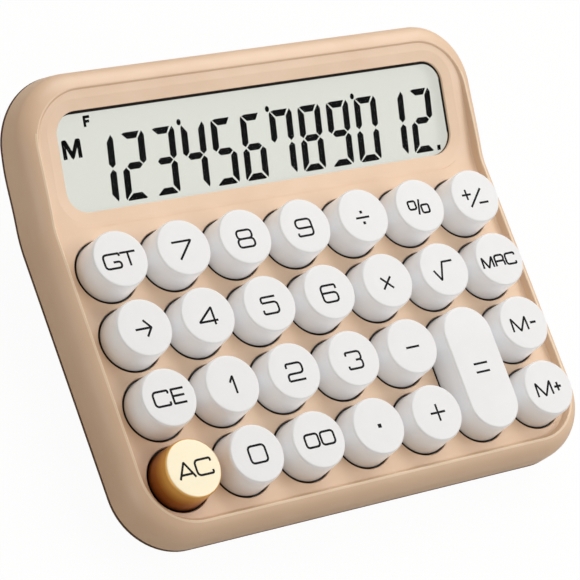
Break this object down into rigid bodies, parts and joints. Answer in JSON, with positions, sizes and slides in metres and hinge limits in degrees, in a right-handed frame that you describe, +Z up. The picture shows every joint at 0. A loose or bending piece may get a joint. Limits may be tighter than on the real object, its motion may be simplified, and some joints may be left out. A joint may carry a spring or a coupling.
{
  "type": "desktop calculator",
  "caption": "Desktop calculator with round keycaps, a tall oval equals key and a wide tilted display, in a low matte case on a wedge stand.",
  "frame": {"origin": "on the surface it stands on, under the middle of the whole calculator", "axes": "+X to the user's right along the key rows, +Y from the user towards the display, +Z up"},
  "size_m": [0.153, 0.1312, 0.0432],
  "materials": {
    "body": "fine matte moulded, beige",
    "base": "fine matte moulded, beige",
    "key": "satin, soft gloss, white",
    "gold_key": "metallised gold, glossy",
    "lens": "clear polished sheet",
    "lcd": "satin grey-green panel with black figures",
    "holder": "matte moulded, white",
    "silicone": "matte translucent silicone",
    "board": "green solder mask",
    "chip": "black resin drop",
    "ribbon": "satin amber film",
    "screw": "zinc plated",
    "rubber": "matte dark rubber",
    "cell": "plain sleeve over steel",
    "contact": "nickel plated spring steel",
    "red_lead": "red insulation",
    "black_lead": "black insulation"
  },
  "bodies": {
    "case": {"top_cover": "body", "dome_sheet": "silicone", "main_board": "board", "controller_chip": "chip", "lcd_ribbon": "ribbon", "display_lens": "lens", "lcd_panel": "lcd", "lcd_holder": "holder", "case_screw_1": "screw", "case_screw_2": "screw", "case_screw_3": "screw", "case_screw_4": "screw", "board_screw_1": "screw", "board_screw_2": "screw", "board_screw_3": "screw", "board_screw_4": "screw", "bottom_cover": "base", "foot_front_left": "rubber", "foot_front_right": "rubber", "foot_back_left": "rubber", "foot_back_right": "rubber", "battery_front": "cell", "battery_back": "cell", "positive_contact": "contact", "negative_contact": "contact", "bridge_contact": "contact", "positive_lead": "red_lead", "negative_lead": "black_lead"},
    "key_gt": {"key_gt": "key"},
    "key_7": {"key_7": "key"},
    "key_8": {"key_8": "key"},
    "key_9": {"key_9": "key"},
    "key_divide": {"key_divide": "key"},
    "key_percent": {"key_percent": "key"},
    "key_sign": {"key_sign": "key"},
    "key_backspace": {"key_backspace": "key"},
    "key_4": {"key_4": "key"},
    "key_5": {"key_5": "key"},
    "key_6": {"key_6": "key"},
    "key_multiply": {"key_multiply": "key"},
    "key_root": {"key_root": "key"},
    "key_memory_recall": {"key_memory_recall": "key"},
    "key_ce": {"key_ce": "key"},
    "key_1": {"key_1": "key"},
    "key_2": {"key_2": "key"},
    "key_3": {"key_3": "key"},
    "key_minus": {"key_minus": "key"},
    "key_memory_minus": {"key_memory_minus": "key"},
    "key_ac": {"key_ac": "gold_key"},
    "key_0": {"key_0": "key"},
    "key_00": {"key_00": "key"},
    "key_point": {"key_point": "key"},
    "key_plus": {"key_plus": "key"},
    "key_memory_plus": {"key_memory_plus": "key"},
    "key_equals": {"key_equals": "key"},
    "door": {"battery_door": "base"}
  },
  "joints": [
    {"name": "key_gt_press", "type": "slide", "parent": "case", "child": "key_gt", "axis": [0, 0.1045, -0.9945], "range_m": [0, 0.0028], "stiffness_N_per_m": 150, "springref_m": -0.001, "deforming": ["dome_sheet"]},
    {"name": "key_7_press", "type": "slide", "parent": "case", "child": "key_7", "axis": [0, 0.1045, -0.9945], "range_m": [0, 0.0028], "stiffness_N_per_m": 150, "springref_m": -0.001, "deforming": ["dome_sheet"]},
    {"name": "key_8_press", "type": "slide", "parent": "case", "child": "key_8", "axis": [0, 0.1045, -0.9945], "range_m": [0, 0.0028], "stiffness_N_per_m": 150, "springref_m": -0.001, "deforming": ["dome_sheet"]},
    {"name": "key_9_press", "type": "slide", "parent": "case", "child": "key_9", "axis": [0, 0.1045, -0.9945], "range_m": [0, 0.0028], "stiffness_N_per_m": 150, "springref_m": -0.001, "deforming": ["dome_sheet"]},
    {"name": "key_divide_press", "type": "slide", "parent": "case", "child": "key_divide", "axis": [0, 0.1045, -0.9945], "range_m": [0, 0.0028], "stiffness_N_per_m": 150, "springref_m": -0.001, "deforming": ["dome_sheet"]},
    {"name": "key_percent_press", "type": "slide", "parent": "case", "child": "key_percent", "axis": [0, 0.1045, -0.9945], "range_m": [0, 0.0028], "stiffness_N_per_m": 150, "springref_m": -0.001, "deforming": ["dome_sheet"]},
    {"name": "key_sign_press", "type": "slide", "parent": "case", "child": "key_sign", "axis": [0, 0.1045, -0.9945], "range_m": [0, 0.0028], "stiffness_N_per_m": 150, "springref_m": -0.001, "deforming": ["dome_sheet"]},
    {"name": "key_backspace_press", "type": "slide", "parent": "case", "child": "key_backspace", "axis": [0, 0.1045, -0.9945], "range_m": [0, 0.0028], "stiffness_N_per_m": 150, "springref_m": -0.001, "deforming": ["dome_sheet"]},
    {"name": "key_4_press", "type": "slide", "parent": "case", "child": "key_4", "axis": [0, 0.1045, -0.9945], "range_m": [0, 0.0028], "stiffness_N_per_m": 150, "springref_m": -0.001, "deforming": ["dome_sheet"]},
    {"name": "key_5_press", "type": "slide", "parent": "case", "child": "key_5", "axis": [0, 0.1045, -0.9945], "range_m": [0, 0.0028], "stiffness_N_per_m": 150, "springref_m": -0.001, "deforming": ["dome_sheet"]},
    {"name": "key_6_press", "type": "slide", "parent": "case", "child": "key_6", "axis": [0, 0.1045, -0.9945], "range_m": [0, 0.0028], "stiffness_N_per_m": 150, "springref_m": -0.001, "deforming": ["dome_sheet"]},
    {"name": "key_multiply_press", "type": "slide", "parent": "case", "child": "key_multiply", "axis": [0, 0.1045, -0.9945], "range_m": [0, 0.0028], "stiffness_N_per_m": 150, "springref_m": -0.001, "deforming": ["dome_sheet"]},
    {"name": "key_root_press", "type": "slide", "parent": "case", "child": "key_root", "axis": [0, 0.1045, -0.9945], "range_m": [0, 0.0028], "stiffness_N_per_m": 150, "springref_m": -0.001, "deforming": ["dome_sheet"]},
    {"name": "key_memory_recall_press", "type": "slide", "parent": "case", "child": "key_memory_recall", "axis": [0, 0.1045, -0.9945], "range_m": [0, 0.0028], "stiffness_N_per_m": 150, "springref_m": -0.001, "deforming": ["dome_sheet"]},
    {"name": "key_ce_press", "type": "slide", "parent": "case", "child": "key_ce", "axis": [0, 0.1045, -0.9945], "range_m": [0, 0.0028], "stiffness_N_per_m": 150, "springref_m": -0.001, "deforming": ["dome_sheet"]},
    {"name": "key_1_press", "type": "slide", "parent": "case", "child": "key_1", "axis": [0, 0.1045, -0.9945], "range_m": [0, 0.0028], "stiffness_N_per_m": 150, "springref_m": -0.001, "deforming": ["dome_sheet"]},
    {"name": "key_2_press", "type": "slide", "parent": "case", "child": "key_2", "axis": [0, 0.1045, -0.9945], "range_m": [0, 0.0028], "stiffness_N_per_m": 150, "springref_m": -0.001, "deforming": ["dome_sheet"]},
    {"name": "key_3_press", "type": "slide", "parent": "case", "child": "key_3", "axis": [0, 0.1045, -0.9945], "range_m": [0, 0.0028], "stiffness_N_per_m": 150, "springref_m": -0.001, "deforming": ["dome_sheet"]},
    {"name": "key_minus_press", "type": "slide", "parent": "case", "child": "key_minus", "axis": [0, 0.1045, -0.9945], "range_m": [0, 0.0028], "stiffness_N_per_m": 150, "springref_m": -0.001, "deforming": ["dome_sheet"]},
    {"name": "key_memory_minus_press", "type": "slide", "parent": "case", "child": "key_memory_minus", "axis": [0, 0.1045, -0.9945], "range_m": [0, 0.0028], "stiffness_N_per_m": 150, "springref_m": -0.001, "deforming": ["dome_sheet"]},
    {"name": "key_ac_press", "type": "slide", "parent": "case", "child": "key_ac", "axis": [0, 0.1045, -0.9945], "range_m": [0, 0.0028], "stiffness_N_per_m": 150, "springref_m": -0.001, "deforming": ["dome_sheet"]},
    {"name": "key_0_press", "type": "slide", "parent": "case", "child": "key_0", "axis": [0, 0.1045, -0.9945], "range_m": [0, 0.0028], "stiffness_N_per_m": 150, "springref_m": -0.001, "deforming": ["dome_sheet"]},
    {"name": "key_00_press", "type": "slide", "parent": "case", "child": "key_00", "axis": [0, 0.1045, -0.9945], "range_m": [0, 0.0028], "stiffness_N_per_m": 150, "springref_m": -0.001, "deforming": ["dome_sheet"]},
    {"name": "key_point_press", "type": "slide", "parent": "case", "child": "key_point", "axis": [0, 0.1045, -0.9945], "range_m": [0, 0.0028], "stiffness_N_per_m": 150, "springref_m": -0.001, "deforming": ["dome_sheet"]},
    {"name": "key_plus_press", "type": "slide", "parent": "case", "child": "key_plus", "axis": [0, 0.1045, -0.9945], "range_m": [0, 0.0028], "stiffness_N_per_m": 150, "springref_m": -0.001, "deforming": ["dome_sheet"]},
    {"name": "key_memory_plus_press", "type": "slide", "parent": "case", "child": "key_memory_plus", "axis": [0, 0.1045, -0.9945], "range_m": [0, 0.0028], "stiffness_N_per_m": 150, "springref_m": -0.001, "deforming": ["dome_sheet"]},
    {"name": "key_equals_press", "type": "slide", "parent": "case", "child": "key_equals", "axis": [0, 0.1045, -0.9945], "range_m": [0, 0.0028], "stiffness_N_per_m": 190, "springref_m": -0.001, "deforming": ["dome_sheet"]},
    {"name": "door_hinge", "type": "hinge", "parent": "case", "child": "door", "pos_m": [0, 0.02504, 0.0025], "axis": [-1, 0, 0], "range_deg": [0, 80]}
  ]
}
